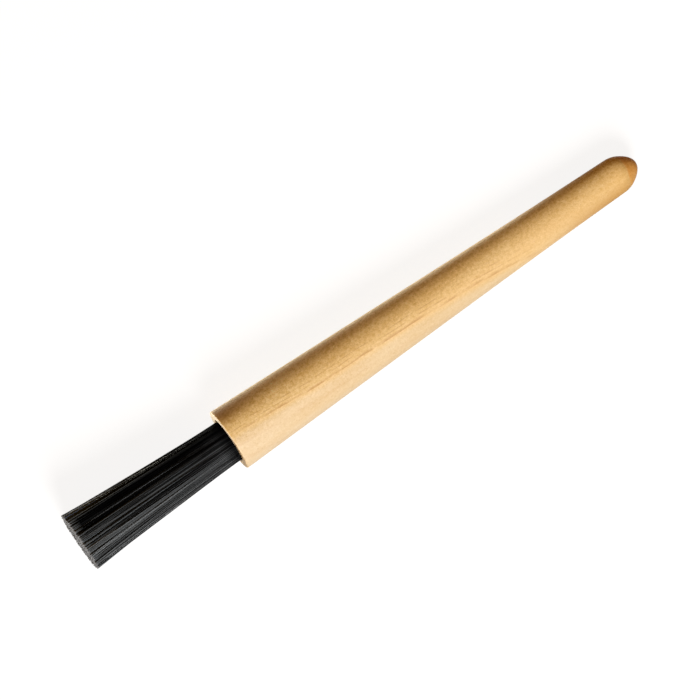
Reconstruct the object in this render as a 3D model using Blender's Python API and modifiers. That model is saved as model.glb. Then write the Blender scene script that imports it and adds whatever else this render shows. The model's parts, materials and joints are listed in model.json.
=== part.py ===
"""Coffee grinder brush: a turned hardwood handle with a blind bore in its thick end, and a bundle
of black nylon filament that is set in the bore with resin and opens out towards its tip.

The brush lies on a table as it does when it is put down: the handle's underside touches the
table at the rim of the mouth and at the butt. X runs along the brush, from the bristles towards
the butt, and Z is up. The origin is on the table, under the middle of the brush. Every piece is
turned or set about one axis, the local Z of the empty "brush_axis", which starts at the mouth
and points to the butt.
"""

import math

import bmesh
import bpy
from mathutils import Vector
from mathutils.geometry import interpolate_bezier

# Handle, in metres
HANDLE_LENGTH = 0.1488
MOUTH_DIAMETER = 0.020
WAIST_DIAMETER = 0.0128  # the steep taper and the easy one meet here
WAIST_FROM_MOUTH = 0.109
BUTT_DIAMETER = 0.0114  # at the shoulder, where the dome begins
DOME_LENGTH = 0.0063
SHOULDER_ROUND = 0.0015  # how far the shoulder's rounding reaches to each side of it
RIM_ROUND = 0.0005  # radius that the sanding leaves on the rim of the mouth

# Bore, in metres
BORE_DIAMETER = 0.014
BORE_DEPTH = 0.022  # of the straight wall, without the drill's point
BORE_EDGE_BREAK = 0.0003
DRILL_POINT = math.radians(118)

# Bristle tuft, in metres
TUFT_LENGTH = 0.0538  # from the mouth to the cut tips
TUFT_TIP_DIAMETER = 0.0196
TIP_UNEVENNESS = 0.0004  # between the longest and the shortest strand
STRAND_WIDTH = 0.0005  # one strand stands for about five real filaments
STRAND_SPACING = 0.00004  # least gap between two strands at their roots

# Resin, in metres
RESIN_BELOW_MOUTH = 0.003
ROOT_SLICE_THICKNESS = 0.003  # the part of the resin that is fused to the strands
ROOT_GRIP = 0.001  # how far a strand reaches into that slice
SEAT_GAP = 0.0003  # between pieces that touch

# Curves, as plain numbers
FLANK_EASING = 0.95  # 1 would make the waist a sharp knee, 0 a straight taper
DOME_POWER = 1.3  # 1 would be a parabola, 2 an ellipse
FLARE_POWER = 1.5  # 1 would be a cone, 2 a parabola
TURNED_SIDES = 32
FLANK_POINTS = 15
SHOULDER_POINTS = 4
DOME_STEPS = 8
RIM_STEPS = 3
STRAND_STATIONS = (0.2, 0.6, 1.0)  # where a strand bends, as shares of the tuft's length
GOLDEN_ANGLE = math.pi * (3 - math.sqrt(5))
SUNFLOWER_GAP = 1.54  # least distance between sunflower seeds, over their spiral's constant
SHARP_EDGE = math.radians(40)  # a steeper edge than this is shaded sharp

# Sizes that follow from those above
MOUTH_RADIUS = MOUTH_DIAMETER / 2
BORE_RADIUS = BORE_DIAMETER / 2
SEATED_RADIUS = BORE_RADIUS - SEAT_GAP
SHOULDER = HANDLE_LENGTH - DOME_LENGTH
SLICE_FACE = RESIN_BELOW_MOUTH
PLUG_FACE = SLICE_FACE + ROOT_SLICE_THICKNESS + SEAT_GAP
DRILL_SLOPE = 1 / math.tan(DRILL_POINT / 2)
STRAND_RADIUS = STRAND_WIDTH / 2


def clear_scene():
    for obj in list(bpy.data.objects):
        bpy.data.objects.remove(obj, do_unlink=True)


def new_collection(name):
    collection = bpy.data.collections.new(name)
    bpy.context.scene.collection.children.link(collection)
    return collection


def principled(name, colour, roughness, metallic=0.0):
    material = bpy.data.materials.new(name)
    material.use_nodes = True
    material.diffuse_color = (*colour, 1.0)
    shader = material.node_tree.nodes["Principled BSDF"]
    shader.inputs["Base Color"].default_value = (*colour, 1.0)
    shader.inputs["Roughness"].default_value = roughness
    shader.inputs["Metallic"].default_value = metallic
    return material


def flank_points():
    """The side of the handle from the rim to the shoulder's rounding: one curve, whose end tangents
    meet at the waist.
    """
    rim = Vector((MOUTH_RADIUS, RIM_ROUND))
    waist = Vector((WAIST_DIAMETER / 2, WAIST_FROM_MOUTH))
    shoulder = Vector((BUTT_DIAMETER / 2, SHOULDER))
    before = shoulder + (waist - shoulder).normalized() * SHOULDER_ROUND
    rim_handle = rim.lerp(waist, FLANK_EASING)
    butt_handle = before.lerp(waist, FLANK_EASING)
    return interpolate_bezier(rim, rim_handle, butt_handle, before, FLANK_POINTS)


def dome_point(angle):
    """A point of the butt's blunt dome, from its shoulder at angle 0 to its tip at a right angle."""
    along = DOME_LENGTH * math.sin(angle) ** (2 / DOME_POWER)
    return Vector((BUTT_DIAMETER / 2 * math.cos(angle), SHOULDER + along))


def dome_points():
    """The butt from its tip down to the flank: the dome, and the rounding of its shoulder."""
    start = math.asin((SHOULDER_ROUND / DOME_LENGTH) ** (DOME_POWER / 2))
    angles = [math.pi / 2 + (start - math.pi / 2) * step / DOME_STEPS for step in range(DOME_STEPS)]
    tip = Vector((0.0, HANDLE_LENGTH))
    shoulder = Vector((BUTT_DIAMETER / 2, SHOULDER))
    after = dome_point(start)
    before = flank_points()[-1]
    after_handle = after.lerp(shoulder, 2 / 3)
    before_handle = before.lerp(shoulder, 2 / 3)
    rounding = interpolate_bezier(after, after_handle, before_handle, before, SHOULDER_POINTS)
    return [tip] + [dome_point(angle) for angle in angles[1:]] + rounding[:-1]


def rim_points():
    """The rounded outer edge of the mouth, a quarter of a circle down to the end face."""
    points = []
    for step in range(1, RIM_STEPS + 1):
        angle = math.pi / 2 * step / RIM_STEPS
        across = MOUTH_RADIUS - RIM_ROUND * (1 - math.cos(angle))
        points.append(Vector((across, RIM_ROUND * (1 - math.sin(angle)))))
    return points


def bore_points():
    """The bore from its broken edge, up its wall and along the cone that the drill leaves."""
    return [
        Vector((BORE_RADIUS + BORE_EDGE_BREAK, 0.0)),
        Vector((BORE_RADIUS, BORE_EDGE_BREAK)),
        Vector((BORE_RADIUS, BORE_DEPTH)),
        Vector((0.0, BORE_DEPTH + BORE_RADIUS * DRILL_SLOPE)),
    ]


def handle_profile():
    """From the tip of the butt, down the outside, across the end face and up into the bore."""
    return dome_points() + flank_points()[::-1] + rim_points() + bore_points()


def made_real(obj):
    """Puts the modifiers' result into the object's mesh, and shades it smooth between sharp edges."""
    bpy.context.view_layer.update()
    evaluated = obj.evaluated_get(bpy.context.evaluated_depsgraph_get())
    mesh = bpy.data.meshes.new_from_object(evaluated)
    mesh.name = obj.name
    mesh.shade_smooth()
    mesh.set_sharp_from_angle(angle=SHARP_EDGE)
    obj.modifiers.clear()
    obj.data = mesh
    return obj


def turned(name, profile, material, collection, axis):
    """A closed turned solid. It is turned by half a side, so that a flat lies on the table."""
    mesh = bpy.data.meshes.new(name)
    points = [(point.x, 0.0, point.y) for point in profile]
    edges = [(i, i + 1) for i in range(len(points) - 1)]
    mesh.from_pydata(points, edges, [])
    obj = bpy.data.objects.new(name, mesh)
    collection.objects.link(obj)
    obj.data.materials.append(material)
    obj.parent = axis
    obj.rotation_euler.z = math.pi / TURNED_SIDES
    screw = obj.modifiers.new("turn", "SCREW")
    screw.axis = "Z"
    screw.steps = TURNED_SIDES
    screw.render_steps = TURNED_SIDES
    screw.use_merge_vertices = True
    screw.merge_threshold = 1e-6
    return made_real(obj)


def strand_places():
    """Where strands stand in the bundle, as (share of its radius, angle), in a sunflower's spiral."""
    spiral = (STRAND_WIDTH + STRAND_SPACING) / SUNFLOWER_GAP
    count = int(((SEATED_RADIUS - STRAND_RADIUS) / spiral) ** 2)
    return [(math.sqrt((i + 0.5) / count), i * GOLDEN_ANGLE) for i in range(count)]


def bundle_radius(share_of_length):
    """Radius of the circle that the outermost strands' centres stand on, this far out of the mouth."""
    root = SEATED_RADIUS - STRAND_RADIUS
    tip = TUFT_TIP_DIAMETER / 2 - STRAND_RADIUS
    return root + (tip - root) * share_of_length**FLARE_POWER


def strand_route(place, trim):
    """Points along one strand, from inside the root slice out to its cut tip."""
    share_of_radius, angle = place
    route = []
    for station in (0.0, *STRAND_STATIONS):
        out = station * (TUFT_LENGTH - trim) if station else -(SLICE_FACE + ROOT_GRIP)
        across = share_of_radius * bundle_radius(station)
        route.append((across * math.cos(angle), across * math.sin(angle), -out))
    return route


def strand_section(collection):
    """The three-sided section of a strand, as a closed flat curve."""
    section = bpy.data.curves.new("strand_section", "CURVE")
    spline = section.splines.new("POLY")
    spline.points.add(2)
    for corner, point in enumerate(spline.points):
        angle = 2 * math.pi * corner / 3
        point.co = (STRAND_RADIUS * math.cos(angle), STRAND_RADIUS * math.sin(angle), 0.0, 1.0)
    spline.use_cyclic_u = True
    obj = bpy.data.objects.new("strand_section", section)
    collection.objects.link(obj)
    return obj


def strands(collection, axis):
    """All strands as one mesh of separate closed three-sided prisms that bend with the flare."""
    section = strand_section(collection)
    curve = bpy.data.curves.new("strands", "CURVE")
    curve.dimensions = "3D"
    curve.bevel_mode = "OBJECT"
    curve.bevel_object = section
    curve.use_fill_caps = True
    places = strand_places()
    for number, place in enumerate(places):
        trim = TIP_UNEVENNESS * (number * GOLDEN_ANGLE % 1.0)
        route = strand_route(place, trim)
        spline = curve.splines.new("POLY")
        spline.points.add(len(route) - 1)
        spline.points.foreach_set("co", [value for point in route for value in (*point, 1.0)])
    obj = bpy.data.objects.new("strand_curves", curve)
    collection.objects.link(obj)
    bpy.context.view_layer.update()
    evaluated = obj.evaluated_get(bpy.context.evaluated_depsgraph_get())
    mesh = bpy.data.meshes.new_from_object(evaluated)
    mesh.name = "strands"
    for helper in (obj, section):
        bpy.data.objects.remove(helper, do_unlink=True)
    shape = bmesh.new()
    shape.from_mesh(mesh)
    bmesh.ops.remove_doubles(shape, verts=shape.verts, dist=1e-6)
    bmesh.ops.recalc_face_normals(shape, faces=shape.faces)
    shape.to_mesh(mesh)
    shape.free()
    bundle = bpy.data.objects.new("strands", mesh)
    collection.objects.link(bundle)
    bundle.parent = axis
    bundle.hide_render = True
    bundle.display_type = "WIRE"
    return bundle


def bristle_tuft(material, parts, cutters, axis):
    """The strands, fused to the slice of resin that they come out of."""
    profile = [
        Vector((0.0, SLICE_FACE + ROOT_SLICE_THICKNESS)),
        Vector((SEATED_RADIUS, SLICE_FACE + ROOT_SLICE_THICKNESS)),
        Vector((SEATED_RADIUS, SLICE_FACE)),
        Vector((0.0, SLICE_FACE)),
    ]
    slice_of_resin = turned("bristle_tuft", profile, material, parts, axis)
    bundle = strands(cutters, axis)
    bundle.data.materials.append(material)
    join = slice_of_resin.modifiers.new("strands", "BOOLEAN")
    join.operation = "UNION"
    join.solver = "EXACT"
    join.object = bundle
    return made_real(slice_of_resin)


def resin_plug(material, parts, axis):
    """The rest of the resin, down to the bottom that the drill left."""
    point_gap = SEAT_GAP * math.hypot(1, DRILL_SLOPE)
    edge = BORE_DEPTH + (BORE_RADIUS - SEATED_RADIUS) * DRILL_SLOPE - point_gap
    tip = BORE_DEPTH + BORE_RADIUS * DRILL_SLOPE - point_gap
    profile = [
        Vector((0.0, tip)),
        Vector((SEATED_RADIUS, edge)),
        Vector((SEATED_RADIUS, PLUG_FACE)),
        Vector((0.0, PLUG_FACE)),
    ]
    return turned("resin_plug", profile, material, parts, axis)


def lay_down(axis):
    """Turns the brush's axis so that the handle's underside rests on the table, and centres it."""
    flat = math.cos(math.pi / TURNED_SIDES)  # a flat side is this much nearer to the axis
    rim, *others = [Vector((point.x * flat, point.y)) for point in flank_points()]
    tilt = min(math.atan2(rim.x - p.x, p.y - rim.y) for p in others if p.y > HANDLE_LENGTH / 2)
    height = rim.x * math.cos(tilt) + rim.y * math.sin(tilt)
    butt_end = HANDLE_LENGTH * math.cos(tilt)
    bristle_end = TUFT_LENGTH * math.cos(tilt) + TUFT_TIP_DIAMETER / 2 * math.sin(tilt)
    axis.rotation_euler.y = math.pi / 2 + tilt
    axis.location = ((bristle_end - butt_end) / 2, 0.0, height)


def build():
    clear_scene()
    parts = new_collection("coffee_grinder_brush")
    cutters = new_collection("cutters")
    axis = bpy.data.objects.new("brush_axis", None)
    parts.objects.link(axis)
    wood = principled("turned_beech", (0.74, 0.50, 0.28), 0.5)
    nylon = principled("black_nylon", (0.02, 0.02, 0.022), 0.4)
    resin = principled("set_resin", (0.55, 0.36, 0.14), 0.25)
    turned("handle", handle_profile(), wood, parts, axis)
    bristle_tuft(nylon, parts, cutters, axis)
    resin_plug(resin, parts, axis)
    lay_down(axis)
    bpy.context.view_layer.update()


build()
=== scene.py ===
"""A coffee grinder brush: a turned beech handle, and a bundle of black nylon filament that is set in
its thick end with resin. The pieces come in the order in which a brush maker puts them together.
Sizes are in metres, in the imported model's frame: the brush lies along X with its bristles towards
-X, its underside on the table and Z up.
"""
import json
import math

import bpy
import numpy as np
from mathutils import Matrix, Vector


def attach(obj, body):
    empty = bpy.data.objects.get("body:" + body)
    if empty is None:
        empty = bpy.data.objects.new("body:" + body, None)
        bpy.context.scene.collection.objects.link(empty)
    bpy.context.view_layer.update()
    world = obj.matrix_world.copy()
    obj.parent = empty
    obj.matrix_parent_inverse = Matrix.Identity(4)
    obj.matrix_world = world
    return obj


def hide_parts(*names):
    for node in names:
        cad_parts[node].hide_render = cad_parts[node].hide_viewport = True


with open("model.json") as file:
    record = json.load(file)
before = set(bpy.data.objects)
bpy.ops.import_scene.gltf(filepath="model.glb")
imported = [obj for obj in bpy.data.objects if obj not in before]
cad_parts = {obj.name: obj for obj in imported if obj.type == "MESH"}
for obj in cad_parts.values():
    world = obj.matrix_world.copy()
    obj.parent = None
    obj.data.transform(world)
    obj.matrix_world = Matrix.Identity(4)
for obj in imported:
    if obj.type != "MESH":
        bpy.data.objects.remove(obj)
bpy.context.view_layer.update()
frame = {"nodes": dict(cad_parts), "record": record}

# The handle
# One stick of beech, turned from 20 mm dowel to a long taper with a blunt domed butt, and bored for
# the bristles in its thick end. It is sanded along the grain and sealed with a thin satin lacquer.
RING_MIDDLE = 0.0084  # radius at which the record's mount stands on the mouth's flat ring
HANDLE_LENGTH = 0.1488
MOUTH_RADIUS = 0.010
WAIST_RADIUS = 0.0064
WAIST_FROM_MOUTH = 0.109
SHOULDER_RADIUS = 0.0057
DOME_LENGTH = 0.0063
SHOULDER_ROUND = 0.0015
RIM_ROUND = 0.0004
FLANK_EASING = 0.95  # 1 would make the waist a sharp knee
DOME_POWER = 1.2  # 1 would be a parabola, 2 an ellipse
BORE_RADIUS = 0.007
BORE_DEPTH = 0.022
BORE_EDGE_BREAK = 0.0003
DRILL_POINT = math.radians(118)
HANDLE_SIDES = 224
SHARP_EDGE = math.radians(40)

NEAR_SIDE = (0.0, -0.99, -0.141)  # in the brush's own frame, towards the side that is lower in the picture
ACROSS_RINGS = (-0.038, -0.987, 0.158)  # in that frame, square to the growth rings
CLEAR_RING = 0.00245  # how far the clear ring lies from the brush's axis, where it leaves the mouth
RING_GAP = 0.0033
FINE_RING_GAP = 0.00115
# How much deeper both colours get towards the butt; the paler mouth end is a painted sheen.
DEEPENING = ((0.0, 0.05, 0.33), (0.05, 0.137, 0.27), (0.134, 0.143, 0.4))  # from, to, and how much
RING_BENDS = ((0.018, 0.027, -0.00045), (0.028, 0.045, 0.00075), (0.048, 0.072, 0.0006),
              (0.088, 0.106, -0.0006))  # from, to, and how far the rings bend aside

mount = frame["record"]["mounts"][0]
axis = -np.array(mount["axis"])
axis /= np.linalg.norm(axis)
aside = np.array((0.0, 1.0, 0.0))
above = np.cross(axis, aside)
mouth = np.array(mount["pos_m"]) - RING_MIDDLE * above


def placed(along, across, up):
    """World points for distances from the middle of the mouth: along the axis towards the butt,
    across it in the table's plane, and up from it.
    """
    along, across, up = np.broadcast_arrays(along, across, up)
    return mouth + along[..., None] * axis + across[..., None] * aside + up[..., None] * above


def bezier(start, leave, arrive, end, count):
    """Points of a cubic curve: the four given points weighed by (1-t)^3, 3t(1-t)^2, 3t^2(1-t), t^3."""
    t = np.linspace(0, 1, count)[:, None]
    return (1 - t) ** 3 * start + 3 * t * (1 - t) ** 2 * leave + 3 * t**2 * (1 - t) * arrive + t**3 * end


def line(start, end, count):
    """Points at equal steps from start up to, but not including, end."""
    t = np.linspace(0, 1, count, endpoint=False)[:, None]
    return np.array(start) * (1 - t) + np.array(end) * t


def handle_profile():
    """The turned outline as rows of (radius, distance from the mouth): the dome, where the radius is
    R sqrt(1 - (u / L)^p) at u past the shoulder, then the rounded shoulder, the flank, a quarter
    circle at the rim, the flat end face, the bore's wall and the cone that the drill left.
    """
    shoulder = np.array((SHOULDER_RADIUS, HANDLE_LENGTH - DOME_LENGTH))
    waist = np.array((WAIST_RADIUS, WAIST_FROM_MOUTH))
    rim = np.array((MOUTH_RADIUS, RIM_ROUND))
    before = shoulder + SHOULDER_ROUND * (waist - shoulder) / np.linalg.norm(waist - shoulder)
    start = math.asin((SHOULDER_ROUND / DOME_LENGTH) ** (DOME_POWER / 2))
    angle = np.linspace(math.pi / 2, start, 40)
    past = DOME_LENGTH * np.sin(angle) ** (2 / DOME_POWER)
    dome = np.column_stack((SHOULDER_RADIUS * np.cos(angle), shoulder[1] + past))
    dome[0, 0] = 0.0
    after = dome[-1]
    rounding = bezier(after, (after + 2 * shoulder) / 3, (before + 2 * shoulder) / 3, before, count=14)
    leave = before + FLANK_EASING * (waist - before)
    arrive = rim + FLANK_EASING * (waist - rim)
    flank = bezier(before, leave, arrive, rim, count=180)
    turn = np.linspace(0, math.pi / 2, 10)
    edge = np.column_stack((
        MOUTH_RADIUS - RIM_ROUND * (1 - np.cos(turn)),
        RIM_ROUND * (1 - np.sin(turn)),
    ))
    bore_edge = (BORE_RADIUS + BORE_EDGE_BREAK, 0.0)
    wall_top = (BORE_RADIUS, BORE_EDGE_BREAK)
    wall_end = (BORE_RADIUS, BORE_DEPTH)
    drill_tip = (0.0, BORE_DEPTH + BORE_RADIUS / math.tan(DRILL_POINT / 2))
    face = line(edge[-1], bore_edge, count=8)
    broken = line(bore_edge, wall_top, count=2)
    wall = line(wall_top, wall_end, count=12)
    cone = line(wall_end, drill_tip, count=6)
    outside = (dome[:-1], rounding[:-1], flank[:-1], edge[:-1])
    return np.vstack((*outside, face, broken, wall, cone, [drill_tip]))


def mesh_piece(name, points, faces, material):
    """A smooth-shaded object at the origin with its place in its mesh, sharp at its hard edges."""
    mesh = bpy.data.meshes.new(name)
    mesh.from_pydata(points.tolist(), [], faces)
    mesh.materials.append(material)
    mesh.shade_smooth()
    mesh.set_sharp_from_angle(angle=SHARP_EDGE)
    piece = bpy.data.objects.new(name, mesh)
    bpy.context.scene.collection.objects.link(piece)
    return piece


def turned_piece(name, profile, sides, material):
    """A closed solid of revolution: a profile point (r, z) turned by the angle a about the brush's
    axis lies r cos(a) across, r sin(a) up and z along. Both ends of the profile are on the axis.
    """
    angle = np.arange(sides) * 2 * math.pi / sides
    radius, along = profile[1:-1].T[..., None]
    rings = placed(along, radius * np.cos(angle), radius * np.sin(angle)).reshape(-1, 3)
    poles = placed(profile[[0, -1], 1], 0.0, 0.0)
    first_pole = len(rings)
    here = np.arange(len(rings)).reshape(-1, sides)
    beside = np.roll(here, -1, axis=1)
    quads = np.stack((here[:-1], here[1:], beside[1:], beside[:-1]), axis=-1).reshape(-1, 4)
    start = np.column_stack((np.full(sides, first_pole), here[0], beside[0]))
    end = np.column_stack((here[-1], np.full(sides, first_pole + 1), beside[-1]))
    faces = quads.tolist() + start.tolist() + end.tolist()
    return mesh_piece(name, np.vstack((rings, poles)), faces, material)


def linear(hex_colour):
    """The linear colour of an sRGB hex value such as #F0CFA0."""
    values = [int(hex_colour[i : i + 2], 16) / 255 for i in (1, 3, 5)]
    return (*[v / 12.92 if v <= 0.04045 else ((v + 0.055) / 1.055) ** 2.4 for v in values], 1.0)


def add(tree, kind, *inputs, output=None, **named):
    """Adds a shader node and gives one output of it: the named one, or else the first in use. Inputs
    are values, or outputs to link, in the order of the node's sockets in use or by a socket's name.
    Socket names have a capital, and names without one are the node's settings. So a MapRange is
    given a value, its low and high, and what comes out at them if that isn't 0 and 1.
    """
    node = tree.nodes.new("ShaderNode" + kind)
    for name in filter(str.islower, named):
        setattr(node, name, named[name])
    pairs = list(zip([socket for socket in node.inputs if socket.enabled], inputs))
    pairs += [(node.inputs[name], named[name]) for name in named if not name.islower()]
    for socket, value in pairs:
        if isinstance(value, bpy.types.NodeSocket):
            tree.links.new(value, socket)
        else:
            socket.default_value = value
    if output:
        return node.outputs[output]
    return next((socket for socket in node.outputs if socket.enabled), None)


def new_material(name, **shader_values):
    """A material with one Principled shader, whose constant values are set on its own sockets."""
    material = bpy.data.materials.new(name)
    material.use_nodes = True
    shader = material.node_tree.nodes["Principled BSDF"]
    for socket, value in shader_values.items():
        shader.inputs[socket].default_value = value
    return material, material.node_tree, shader


def on_axis(tree):
    """Object coordinates turned and moved so that X runs along the brush from the middle of its mouth."""
    place = add(tree, "TexCoord", output="Object")
    lean = math.atan2(-axis[2], axis[0])
    return add(tree, "Mapping", place, tuple(mouth), (0.0, lean, 0.0), vector_type="TEXTURE")


def feature_size(along_mm, across_mm):
    """The Mapping scale that gives the features of a pattern of scale 1 this length and width."""
    return (1000 / along_mm, 1000 / across_mm, 1000 / across_mm)


def stepped(tree, value, along, steps):
    """The value plus every step of a list. A step grows from nothing between two places along."""
    for start, end, height in steps:
        step = add(tree, "MapRange", along, start, end, 0.0, height)
        value = add(tree, "Math", value, step, operation="ADD")
    return value


def past_clear_ring(tree, place, along):
    """How far a place lies past the clear growth ring, towards the pale side, in metres. The ring is
    a plane that wavers a little, and bends aside in steps along the brush.
    """
    level = add(tree, "VectorMath", place, ACROSS_RINGS, operation="DOT_PRODUCT")
    slow = add(tree, "Mapping", place, Scale=feature_size(14, 5))
    waver = add(tree, "TexNoise", slow, Scale=1.0, Detail=3.0)
    offset = add(tree, "MapRange", waver, 0.25, 0.75, -0.0005, -0.0001)
    level = add(tree, "Math", level, offset, operation="ADD")
    level = stepped(tree, level, along, RING_BENDS)
    return add(tree, "Math", level, CLEAR_RING, operation="SUBTRACT")


def band(tree, gap_share, rise, fall):
    """1 between the rise and the fall of a band of late wood, in shares of the ring's gap."""
    rising = add(tree, "MapRange", gap_share, *rise)
    falling = add(tree, "MapRange", gap_share, *fall, 1.0, 0.0)
    return add(tree, "Math", rising, falling, operation="MULTIPLY")


def late_wood(tree, place, along, past_clear):
    """How strongly late wood shows, from 0 to 1: bold but broken at the clear ring, with finer rings
    in the year before it, and faint at the others. It fades out towards the butt.
    """
    years = add(tree, "Math", past_clear, 1 / RING_GAP, operation="MULTIPLY")
    year = add(tree, "Math", years, operation="FLOOR")
    clear = add(tree, "Math", year, -1.0, 0.1, operation="COMPARE")
    bold = band(tree, add(tree, "Math", years, operation="FRACT"), (0.74, 0.92), (0.94, 1.0))
    fine_years = add(tree, "Math", past_clear, 1 / FINE_RING_GAP, operation="MULTIPLY")
    fine = band(tree, add(tree, "Math", fine_years, operation="FRACT"), (0.6, 0.8), (0.85, 1.0))
    streaks = add(tree, "Mapping", place, Scale=feature_size(5, 0.9))
    patches = add(tree, "TexNoise", streaks, Scale=1.0, Detail=1.0)
    broken = add(tree, "MapRange", patches, 0.4, 0.58)

    bold_depth = add(tree, "MapRange", clear, 0.0, 1.0, 0.12, 0.65)
    whole = add(tree, "MapRange", broken, 0.0, 1.0, 0.25, 1.0)
    bold_depth = add(tree, "Math", bold_depth, whole, operation="MULTIPLY")
    fine_depth = add(tree, "Math", clear, 0.4, operation="MULTIPLY")
    fine_depth = add(tree, "Math", fine_depth, broken, operation="MULTIPLY")
    bold = add(tree, "Math", bold, bold_depth, operation="MULTIPLY")
    fine = add(tree, "Math", fine, fine_depth, operation="MULTIPLY")
    ring = add(tree, "Math", bold, fine, operation="MAXIMUM")
    fading = add(tree, "MapRange", along, 0.098, 0.112, 1.0, 0.0)
    return add(tree, "Math", ring, fading, operation="MULTIPLY")


def painted_edge_shade(tree, along, side):
    """Painted shade, darker and more orange: on the near side of the butt and the far side by the mouth.
    """
    near = add(tree, "MapRange", side, 0.002, 0.0058)
    near_butt = add(tree, "MapRange", along, 0.108, 0.136)
    near_butt = add(tree, "Math", near, near_butt, operation="MULTIPLY")
    far = add(tree, "MapRange", side, -0.0062, -0.0034, 1.0, 0.0)
    far_mouth = add(tree, "MapRange", along, 0.002, 0.016, 0.75, 0.0)
    far_mouth = add(tree, "Math", far, far_mouth, operation="MULTIPLY")
    return add(tree, "Math", near_butt, far_mouth, operation="ADD")


def butt_grain(tree, along, side):
    """Where the dome's end grain begins: just past the shoulder, and sooner on the near side, where
    the colour is weaker.
    """
    crease = HANDLE_LENGTH - DOME_LENGTH + SHOULDER_ROUND
    slant = add(tree, "MapRange", side, 0.0, 0.004, 0.0, 0.0011)
    slanting = add(tree, "Math", along, slant, operation="ADD")
    grain = add(tree, "MapRange", slanting, crease + 0.0004, crease + 0.0009, 0.0, 0.8)
    weaker = add(tree, "MapRange", side, 0.0015, 0.004, 1.0, 0.6)
    return add(tree, "Math", grain, weaker, operation="MULTIPLY")


def turned_beech():
    """Steamed beech, sanded fine and sealed with a thin satin lacquer. Its colour is painted pale and less
    saturated on the lit near side, a painted sheen, and saturated honey on the shaded far side, a painted
    warm shade; both deepen towards the butt, as the painted sheen fades from the mouth. One clear growth
    ring crosses the flank at a slant, with finer and fainter ones beside it, and fibres and rays give a
    fine mottle, painted deeper on the shaded side as the shade of pores. Painted shade darkens the near
    side of the butt and the far side by the mouth. The end grain of the butt drank more lacquer and went
    orange. The mouth's face is bare, and painted warmer where the bristles shade it.
    """
    material, tree, shader = new_material("turned_beech", Roughness=0.5, IOR=1.45)
    place = on_axis(tree)
    along = add(tree, "SeparateXYZ", place, output="X")
    side = add(tree, "VectorMath", place, NEAR_SIDE, operation="DOT_PRODUCT")
    past_clear = past_clear_ring(tree, place, along)

    # painted sheen: both colours are paler towards the mouth and deepen towards the butt
    deeper = stepped(tree, 0.0, along, DEEPENING)
    honey = add(tree, "Mix", deeper, linear("#F9D48F"), linear("#F3C679"), data_type="RGBA")
    pale = add(tree, "Mix", deeper, linear("#E6CDA5"), linear("#E0C18C"), data_type="RGBA")
    # Painted sheen and shade: paler and less saturated towards the lit near side, saturated honey on the
    # shaded far side
    painted_sheen = add(tree, "MapRange", side, -0.004, 0.005, 0.0, 0.55)
    at_ring = add(tree, "MapRange", past_clear, -0.0001, 0.0013, 0.0, 0.45)
    paler = add(tree, "Math", painted_sheen, at_ring, operation="ADD")
    colour = add(tree, "Mix", paler, honey, pale, data_type="RGBA")
    stains_and_shade = (
        (late_wood(tree, place, along, past_clear), "#C08A4A"),
        # painted shade on the near side of the butt and the far side by the mouth
        (painted_edge_shade(tree, along, side), "#C89852"),
        (butt_grain(tree, along, side), "#E5A24C"),
    )
    for share, overlay in stains_and_shade:
        colour = add(tree, "Mix", share, colour, linear(overlay), data_type="RGBA")

    # Broad bands of fibre, the mottle that rays make, and pores. Real pores are 0.08 mm wide and
    # wouldn't show, because a pixel covers 0.3 mm, so they are drawn about five times as coarse.
    calm = add(tree, "MapRange", side, -0.0055, 0.004, 0.0, 0.72)  # the mottle is calmer towards the lit near side and deeper on the shaded far side, a painted pore shade
    patterns = (  # length and width in mm, detail, depth in red, green and blue, how calm it gets
        (30, 4, 2.0, (0.04, 0.08, 0.16), 0.0),
        (1.0, 0.9, 1.0, (0.15, 0.22, 0.45), calm),
        (0.42, 0.36, 2.0, (0.22, 0.3, 0.5), calm),
    )
    grain = []
    for along_mm, across_mm, detail, depth, calmer in patterns:
        sized = add(tree, "Mapping", place, Scale=feature_size(along_mm, across_mm))
        noise = add(tree, "TexNoise", sized, Scale=1.0, Detail=detail)
        share = add(tree, "MapRange", noise, 0.2, 0.8)
        darker = (*[1 - x for x in depth], 1.0)
        lighter = (*[1 + x for x in depth], 1.0)
        tint = add(tree, "Mix", share, darker, lighter, data_type="RGBA")
        tint = add(tree, "Mix", calmer, tint, (1.0, 1.0, 1.0, 1.0), data_type="RGBA")
        colour = add(tree, "Mix", 1.0, colour, tint, data_type="RGBA", blend_type="MULTIPLY")
        grain.append(noise.node.outputs["Color"])
    # Dark ray flecks, at most 0.8 by 0.4 mm, one to each cell of 2.6 by 1.3 mm
    sized = add(tree, "Mapping", place, Scale=feature_size(2.6, 1.3))
    fleck = add(tree, "MapRange", add(tree, "TexVoronoi", sized, Scale=1.0), 0.06, 0.16, 0.2, 0.0)
    colour = add(tree, "Mix", fleck, colour, linear("#A87440"), data_type="RGBA")

    bare = add(tree, "MapRange", along, 0.00004, 0.00016, 1.0, 0.0)
    # painted warm shade: the bare face is warmer towards the near side, where the bristles shade it
    across_face = add(tree, "MapRange", side, 0.0, 0.0085)
    face = add(tree, "Mix", across_face, linear("#F0DDBF"), linear("#F5CB86"), data_type="RGBA")
    colour = add(tree, "Mix", bare, colour, face, data_type="RGBA")
    tree.links.new(colour, shader.inputs["Base Color"])
    lacquer = add(tree, "MapRange", along, 0.118, 0.136, 0.5, 0.12)  # the butt is rubbed matt by the hand
    tree.links.new(lacquer, shader.inputs["Specular IOR Level"])
    relief = add(tree, "Mix", 0.5, *grain[1:], data_type="RGBA")
    bump = add(tree, "Bump", Height=relief, Strength=1.0, Distance=0.00012)
    tree.links.new(bump, shader.inputs["Normal"])
    return material


handle = turned_piece("turned_handle", handle_profile(), HANDLE_SIDES, turned_beech())
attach(handle, "root")
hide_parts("handle")

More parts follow.
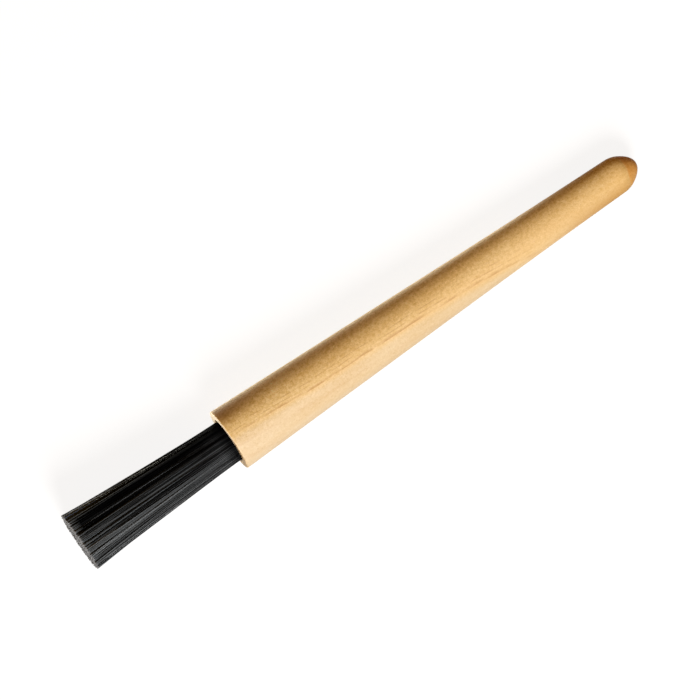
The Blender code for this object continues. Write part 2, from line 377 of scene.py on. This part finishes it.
# The resin
# The bundle's roots are dipped in amber casting resin and pressed to the bottom of the bore, where
# it sets. It climbs the wall a little, and its face stays 3 mm below the mouth.
RESIN_BELOW_MOUTH = 0.003
ROOT_SLICE_THICKNESS = 0.003
SEAT_GAP = 0.0003
MENISCUS = 0.0006
RESIN_SIDES = 96


def set_resin():
    """Amber casting resin: clear and glossy, with faint clouds where air was stirred in."""
    material, tree, shader = new_material("set_resin", Roughness=0.15, IOR=1.54)
    sized = add(tree, "Mapping", on_axis(tree), Scale=feature_size(2.5, 2.5))
    clouds = add(tree, "TexNoise", sized, Scale=1.0, Detail=3.0)
    share = add(tree, "MapRange", clouds, 0.35, 0.7)
    amber = add(tree, "Mix", share, linear("#3A2410"), linear("#6E4620"), data_type="RGBA")
    tree.links.new(amber, shader.inputs["Base Color"])
    return material


def resin_profile():
    """The upper slice of the resin as rows of (radius, distance from the mouth), from its hidden back
    to its face, which rises towards the wall by the meniscus times the share of the radius^8.
    """
    back = RESIN_BELOW_MOUTH + ROOT_SLICE_THICKNESS
    edge = BORE_RADIUS - SEAT_GAP
    share = np.linspace(1, 0, 24)
    face = np.column_stack((edge * share, RESIN_BELOW_MOUTH - MENISCUS * share**8))
    return np.vstack(([(0.0, back), (edge, back)], face))


resin = set_resin()
resin_face = turned_piece("resin_face", resin_profile(), RESIN_SIDES, resin)
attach(resin_face, "root")
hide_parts("bristle_tuft")
frame["nodes"]["resin_plug"].data.materials.clear()
frame["nodes"]["resin_plug"].data.materials.append(resin)

# The bristles
# Two thousand or so straight lengths of black nylon filament, bundled, set and then cut flat across
# with a blade. They spread as they leave the bore, cling together in wisps, and show grey cut ends.
TUFT_LENGTH = 0.0538
TUFT_ROOT_RADIUS = 0.00675
TUFT_TIP_RADIUS = 0.0098
FLARE_POWER = 1.5
ROOT_LEAN = 0.00018  # the bundle was pressed this far to one side as it set
TIP_LEAN = -0.00004  # the same at its tip, which stands a little to the other side
FILAMENT_RADIUS = 0.000135
FILAMENT_COUNT = 2040
FILAMENT_SIDES = 6
ROOT_GRIP = 0.0006  # how deep a filament's end is drawn below the resin's face
ROOT_SCATTER = 0.12  # how unevenly the roots stand, in shares of their gap
CUT_UNEVENNESS = 0.0004
CUT_SLANT = 0.0002  # the upper filaments are this much longer
LOOSENESS = 0.06  # share of the radius by which the loosest filaments pass the bundle's edge at its tip
BUNCHES = ((60, 0.25), (430, 0.4))  # how many, and the share of the way by which each draws together
BUNCH_SCATTER = 0.35  # how unevenly the bunches stand, in shares of their gap
STRAY = 0.00022  # how far a filament strays from its place at the tip
BOW = 0.0002  # how far it bows aside halfway
SCUFFED = 0.993  # share of the length at which the blade's scuffing starts
OUT_OF_SHADE_RADII = (0.7, 0.9)  # shares of the radius between which the filaments come into sight; inside it they are painted black, a painted shade in the gaps between wisps
WORN_FEW = 2.2  # the higher the power, the fewer filaments are worn grey
GOLDEN_ANGLE = math.pi * (3 - math.sqrt(5))
# Shares of the length at which a filament has a ring of points, after a ring that is set in the resin
STATIONS = np.array((0.0, 0.0, 0.14, 0.32, 0.52, 0.76, SCUFFED, 1.0))
random = np.random.default_rng(11)


def sunflower(count, scatter):
    """Places spread evenly over a unit disc: number i is at sqrt((i + 1/2) / count) and i golden
    angles, moved at random by a share of the mean gap.
    """
    number = np.arange(count)
    radius = np.sqrt((number + 0.5) / count)
    angle = number * GOLDEN_ANGLE
    shift = random.normal(0, scatter / math.sqrt(count), (2, count))
    return np.stack((radius * np.cos(angle) + shift[0], radius * np.sin(angle) + shift[1]), axis=-1)


def filament_paths(roots):
    """Centre lines as an array (filament, station, 3) of across, up and out. The distance from the
    axis grows with the share of the way out to the power 1.5. A filament is drawn towards the middle
    of its bunch and wisp by the square of that share, and bows aside as a half sine wave.
    """
    pull = random.normal(0, STRAY / TUFT_TIP_RADIUS, roots.shape)
    for count, strength in BUNCHES:
        middles = sunflower(count, BUNCH_SCATTER)
        nearest = np.argmin(((roots[:, None] - middles[None]) ** 2).sum(-1), axis=1)
        pull += strength * (middles[nearest] - roots)
    share = STATIONS[None, :, None]
    root_radius = TUFT_ROOT_RADIUS - FILAMENT_RADIUS
    tip_radius = TUFT_TIP_RADIUS - FILAMENT_RADIUS
    spread = root_radius + (tip_radius - root_radius) * share**FLARE_POWER
    away = random.uniform(0, 2 * math.pi, len(roots))
    bow = BOW * random.normal(0, 1, len(roots))[:, None] * np.stack((np.cos(away), np.sin(away)), axis=-1)
    flat = roots[:, None] + pull[:, None] * share**2
    reach = np.linalg.norm(flat, axis=-1, keepdims=True) / (1 + LOOSENESS * share)
    flat *= spread / np.maximum(1.0, reach)
    flat += bow[:, None] * np.sin(math.pi * share)
    flat[..., 0] -= ROOT_LEAN + (TIP_LEAN - ROOT_LEAN) * share[..., 0]
    length = TUFT_LENGTH - CUT_UNEVENNESS * random.uniform(0, 1, len(roots)) ** 2
    length += CUT_SLANT * np.clip(roots[:, 1], 0, 1)
    out = length[:, None] * STATIONS[None]
    out[:, 0] = -RESIN_BELOW_MOUTH - ROOT_GRIP
    return np.concatenate((flat, out[..., None]), axis=-1)


def filament_tubes(paths):
    """Points as an array (filament, station, side, 3): a circle round each station of the centre line,
    square to it and turned by a random angle for each filament.
    """
    along = np.gradient(paths, axis=1)
    along /= np.linalg.norm(along, axis=-1, keepdims=True)
    first = np.cross(along, (0.0, 1.0, 0.0))
    first /= np.linalg.norm(first, axis=-1, keepdims=True)
    second = np.cross(along, first)
    side = np.arange(FILAMENT_SIDES) * 2 * math.pi / FILAMENT_SIDES
    turn = side + random.uniform(0, 2 * math.pi, len(paths))[:, None, None]
    circle = first[:, :, None] * np.cos(turn)[..., None] + second[:, :, None] * np.sin(turn)[..., None]
    return paths[:, :, None] + FILAMENT_RADIUS * circle


def filament_piece(name, tubes, shade, material):
    """One mesh of closed tubes. Its attributes are each filament's own shade, and the scuffing by the
    blade, which is 1 at the tip's edge and cut face and 0 from the last station but one.
    """
    count, stations, sides, _ = tubes.shape
    points = placed(-tubes[..., 2], tubes[..., 0], tubes[..., 1]).reshape(-1, 3)
    here = np.arange(len(points)).reshape(count, stations, sides)
    beside = np.roll(here, -1, axis=2)
    walls = np.stack((here[:, :-1], here[:, 1:], beside[:, 1:], beside[:, :-1]), axis=-1).reshape(-1, 4)
    roots = here[:, 0]
    cuts = here[:, -1, ::-1]
    faces = walls.tolist() + roots.tolist() + cuts.tolist()
    piece = mesh_piece(name, points, faces, material)
    scuffed = np.zeros((count, stations, sides))
    scuffed[:, -1] = 1.0
    own = np.repeat(shade, stations * sides)
    for attribute, values in (("scuffed", scuffed.ravel()), ("own_shade", own)):
        piece.data.attributes.new(attribute, "FLOAT", "POINT").data.foreach_set("value", values)
    return piece


def grey_wear_and_painted_light(tree, along, side, own, painted_light):
    """How grey a filament is: most near the tip and on the lit near side, a painted highlight, by its own
    shade and the painted light and shade it is given, and besides that where the tip is frayed, and on the
    far edge, a painted rim light.
    """
    outer = add(tree, "MapRange", along, -0.048, -0.011, 1.0, 0.42)
    # painted highlight: greyer on the lit near side
    lit_near_side = add(tree, "MapRange", side, 0.0, 0.008, 0.65, 1.0)
    greying = add(tree, "Math", outer, lit_near_side, operation="MULTIPLY")
    grey = add(tree, "Math", own, greying, operation="MULTIPLY")
    grey = add(tree, "Math", grey, painted_light, operation="MULTIPLY")
    frayed = add(tree, "MapRange", along, -0.0535, -0.0508, 0.4, 0.0)
    grey = add(tree, "Math", grey, frayed, operation="MAXIMUM")
    # painted rim light: grey on the far edge, more towards the tip
    edge = add(tree, "MapRange", side, -0.0085, -0.0065, 0.9, 0.0)
    outwards = add(tree, "MapRange", along, -0.05, -0.015, 1.0, 0.15)
    painted_rim_light = add(tree, "Math", edge, outwards, operation="MULTIPLY")
    return add(tree, "Math", grey, painted_rim_light, operation="MAXIMUM")


def black_nylon():
    """Extruded nylon filament, dyed black and slightly matted, so that it shines in long soft lines.
    Its lit near side is painted grey, a painted highlight, and so is its far edge, painted rim light
    tinted blue against the warm glow; it is also greyer towards the tip. The shaded band between is
    painted black, and so are the roots by the mouth, a painted shade. Near the tip the filaments are
    frayed, and the blade leaves their last third of a millimetre rough and grey.
    """
    material, tree, shader = new_material("black_nylon", IOR=1.53)
    scuffed = add(tree, "Attribute", attribute_name="scuffed", output="Fac")
    own = add(tree, "Attribute", attribute_name="own_shade", output="Fac")
    place = on_axis(tree)
    along = add(tree, "SeparateXYZ", place, output="X")
    side = add(tree, "VectorMath", place, NEAR_SIDE, operation="DOT_PRODUCT")
    # Painted light and shade: lit on the near side, a shaded black band, painted rim light on the far
    # edge, and painted shade on the roots by the mouth. It scales the grey and the specular level.
    near = add(tree, "MapRange", side, -0.0042, -0.001)
    far = add(tree, "MapRange", side, -0.008, -0.0052, 1.0, 0.05)
    painted_light = add(tree, "Math", near, far, operation="MAXIMUM")
    painted_root_shade = add(tree, "MapRange", along, -0.0045, -0.001, 1.0, 0.12)
    painted_light = add(tree, "Math", painted_light, painted_root_shade, operation="MULTIPLY")
    grey = grey_wear_and_painted_light(tree, along, side, own, painted_light)
    # The far edge's grey is painted blue, to cancel the warm glow and room light that fall on it.
    inwards = add(tree, "MapRange", side, -0.009, -0.0066)
    greying = add(tree, "Mix", inwards, linear("#6E83B0"), linear("#81888D"), data_type="RGBA")
    body = add(tree, "Mix", grey, linear("#040405"), greying, data_type="RGBA")
    colour = add(tree, "Mix", scuffed, body, linear("#9C9EA1"), data_type="RGBA")
    tree.links.new(colour, shader.inputs["Base Color"])
    level = add(tree, "Math", painted_light, 0.5, operation="MULTIPLY")
    tree.links.new(level, shader.inputs["Specular IOR Level"])
    gloss = add(tree, "MapRange", own, 0.0, 1.0, 0.2, 0.32)
    rough = add(tree, "Math", gloss, scuffed, operation="MAXIMUM")
    tree.links.new(rough, shader.inputs["Roughness"])
    return material


roots = sunflower(FILAMENT_COUNT, ROOT_SCATTER)
roots /= np.maximum(1.0, np.linalg.norm(roots, axis=-1, keepdims=True))
tubes = filament_tubes(filament_paths(roots))
# The filaments inside the bundle are painted black, a painted shade in the gaps between the wisps; the
# outer ones get a random shade of their own.
out_of_shade = np.interp(np.linalg.norm(roots, axis=-1), OUT_OF_SHADE_RADII, (0.0, 1.0))
shades = random.uniform(0, 1, FILAMENT_COUNT) ** WORN_FEW * out_of_shade
nylon = black_nylon()
third = FILAMENT_COUNT // 3
for number, name in enumerate(("filaments_core", "filaments_middle", "filaments_outer")):
    members = slice(number * third, (number + 1) * third)
    filaments = filament_piece(name, tubes[members], shades[members], nylon)
    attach(filaments, "root")
    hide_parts("bristle_tuft")

# The studio
# A white table, a large soft lamp on the near side, a small one off the bristles' end, a warm glow
# from the table behind the brush, and a long lens that looks down steeply, as the photograph does.
FLOOR_SIZE = 12.0
UNDER_FLATS = 0.00005  # the round handle reaches this far under the flats it stands for
TABLE_NEAR_ALBEDO = 0.28  # what the light finds on the near side of the brush
TABLE_FAR_ALBEDO = 0.04  # and behind it, where the glow takes its place
TABLE_CHANGE = (-0.003, 0.006)  # between these places on Y, under the brush
PAPER_ALBEDO = 0.22  # what the camera sees is white paper: this much shows shadows
PAPER_WHITE = 0.88  # and this much is white of its own
GLOW_COLOUR = (2.25, 2.17, 1.68)
GLOW_RISE = (0.011, 0.016)  # how far behind the brush it starts, and how far behind it is full
GLOW_FALL = (-0.03, 0.04, -2.1, -0.9)  # between these places on X, the power of the distance it falls with
GLOW_TAPER = 0.024  # how much nearer it comes for each metre past the mouth, as the handle thins
GLOW_START = (-0.06, -0.02, 2.1, 1.05)  # between these places on X, its strength
GLOW_END = (0.057, 0.077)  # between these it dies away
AMBIENT = (0.185, 0.09, 0.012)
MOUTH_PIXEL = (228.5, 440.3)  # where the photograph's 700 by 700 frame shows the middle of the mouth
FRAME_PIXELS = 700
SENSOR_MM = 36.0
LENS_MM = 308.6
CAMERA_DEPTH = 1.783  # from the camera to the mouth, along the view
VIEW_AZIMUTH = math.radians(35.0)
VIEW_ELEVATION = math.radians(80.05)


def white_to_camera(tree, lit, shown):
    """Mixes a surface so that the camera, and what mirrors or bends its view, sees the shown shader."""
    rays = add(tree, "LightPath").node.outputs
    seen = add(tree, "Math", rays["Is Camera Ray"], rays["Is Glossy Ray"], operation="MAXIMUM")
    seen = add(tree, "Math", seen, rays["Is Transmission Ray"], operation="MAXIMUM")
    return add(tree, "MixShader", seen, lit, shown)


def table_glow(tree, across, along):
    """Light from a strip of the table close behind the brush, which the camera doesn't see. It rises,
    falls with a power of the distance across, and is stronger beside the bristles.
    """
    strip = add(tree, "MapRange", across, *GLOW_RISE)
    distance = add(tree, "Math", across, 1 / GLOW_RISE[1], operation="MULTIPLY")
    power = add(tree, "MapRange", along, *GLOW_FALL)
    factors = (
        add(tree, "Math", distance, power, operation="POWER"),
        add(tree, "MapRange", along, *GLOW_START),
        add(tree, "MapRange", along, *GLOW_END, 1.0, 0.0),
        add(tree, "Math", 1.0, add(tree, "LightPath", output="Is Camera Ray"), operation="SUBTRACT"),
    )
    for factor in factors:
        strip = add(tree, "Math", strip, factor, operation="MULTIPLY")
    return add(tree, "Emission", (*GLOW_COLOUR, 1.0), strip)


def white_table():
    """White paper: it shows as pure white, with the brush's soft shadow on it. A strip of it close
    behind the brush throws light up at its far edge.
    """
    material = bpy.data.materials.new("white_table")
    material.use_nodes = True
    tree = material.node_tree
    tree.nodes.clear()
    origin = add(tree, "TexCoord", output="Object")
    pivot = (0.0, -GLOW_TAPER * mouth[0], 0.0)
    beside = add(tree, "Mapping", origin, pivot, (0.0, 0.0, GLOW_TAPER))
    across = add(tree, "SeparateXYZ", beside, output="Y")
    along = across.node.outputs["X"]
    albedo = add(tree, "MapRange", across, *TABLE_CHANGE, TABLE_NEAR_ALBEDO, TABLE_FAR_ALBEDO)
    lit = add(tree, "BsdfDiffuse", albedo)
    shaded = add(tree, "BsdfDiffuse", (PAPER_ALBEDO, PAPER_ALBEDO, PAPER_ALBEDO, 1.0))
    white = add(tree, "Emission", (1.0, 1.0, 1.0, 1.0), PAPER_WHITE)
    paper = white_to_camera(tree, lit, add(tree, "AddShader", shaded, white))
    add(tree, "OutputMaterial", add(tree, "AddShader", paper, table_glow(tree, across, along)))
    return material


def white_surround():
    """A dim warm room for the light, and plain white behind the table for the camera."""
    world = bpy.data.worlds.new("white_surround")
    bpy.context.scene.world = world
    world.use_nodes = True
    tree = world.node_tree
    tree.nodes.clear()
    dim = add(tree, "Background", (*AMBIENT, 1.0), 1.0)
    white = add(tree, "Background", (1.0, 1.0, 1.0, 1.0), 1.0)
    camera_ray = add(tree, "LightPath", output="Is Camera Ray")
    add(tree, "OutputWorld", add(tree, "MixShader", camera_ray, dim, white))
    world.cycles_visibility.glossy = False


def soft_lamp(name, direction, distance, size, power):
    """A round soft lamp that shines at the middle of the brush from a direction."""
    data = bpy.data.lights.new(name, "AREA")
    data.shape = "DISK"
    data.size = size
    data.energy = power
    lamp = bpy.data.objects.new(name, data)
    bpy.context.scene.collection.objects.link(lamp)
    towards = Vector(direction).normalized()
    lamp.location = towards * distance
    lamp.rotation_euler = towards.to_track_quat("Z", "Y").to_euler()


corners = FLOOR_SIZE / 2 * np.array([(-1, -1, 0), (1, -1, 0), (1, 1, 0), (-1, 1, 0)])
corners[:, 2] = -UNDER_FLATS
table = mesh_piece("white_table", corners, [(0, 1, 2, 3)], white_table())
white_surround()
soft_lamp("near_lamp", (-0.226, -0.718, 0.647), distance=1.1, size=0.5, power=12.6)
soft_lamp("end_lamp", (-0.9975, 0.0608, 0.0358), distance=1.5, size=0.05, power=9.6)

right = np.array((math.cos(VIEW_AZIMUTH), -math.sin(VIEW_AZIMUTH), 0.0))
back = np.array((
    -math.cos(VIEW_ELEVATION) * math.sin(VIEW_AZIMUTH),
    -math.cos(VIEW_ELEVATION) * math.cos(VIEW_AZIMUTH),
    math.sin(VIEW_ELEVATION),
))
upward = np.cross(back, right)
pixel = CAMERA_DEPTH * SENSOR_MM / LENS_MM / FRAME_PIXELS  # what a pixel covers at the mouth
shift_right = (FRAME_PIXELS / 2 - MOUTH_PIXEL[0]) * pixel
shift_up = (MOUTH_PIXEL[1] - FRAME_PIXELS / 2) * pixel
camera_data = bpy.data.cameras.new("camera")
camera_data.lens = LENS_MM
camera_data.sensor_width = SENSOR_MM
camera = bpy.data.objects.new("camera", camera_data)
bpy.context.scene.collection.objects.link(camera)
camera.location = mouth + back * CAMERA_DEPTH + right * shift_right + upward * shift_up
camera.rotation_euler = (math.pi / 2 - VIEW_ELEVATION, 0.0, -VIEW_AZIMUTH)
bpy.context.scene.camera = camera
bpy.context.scene.view_settings.view_transform = "Standard"
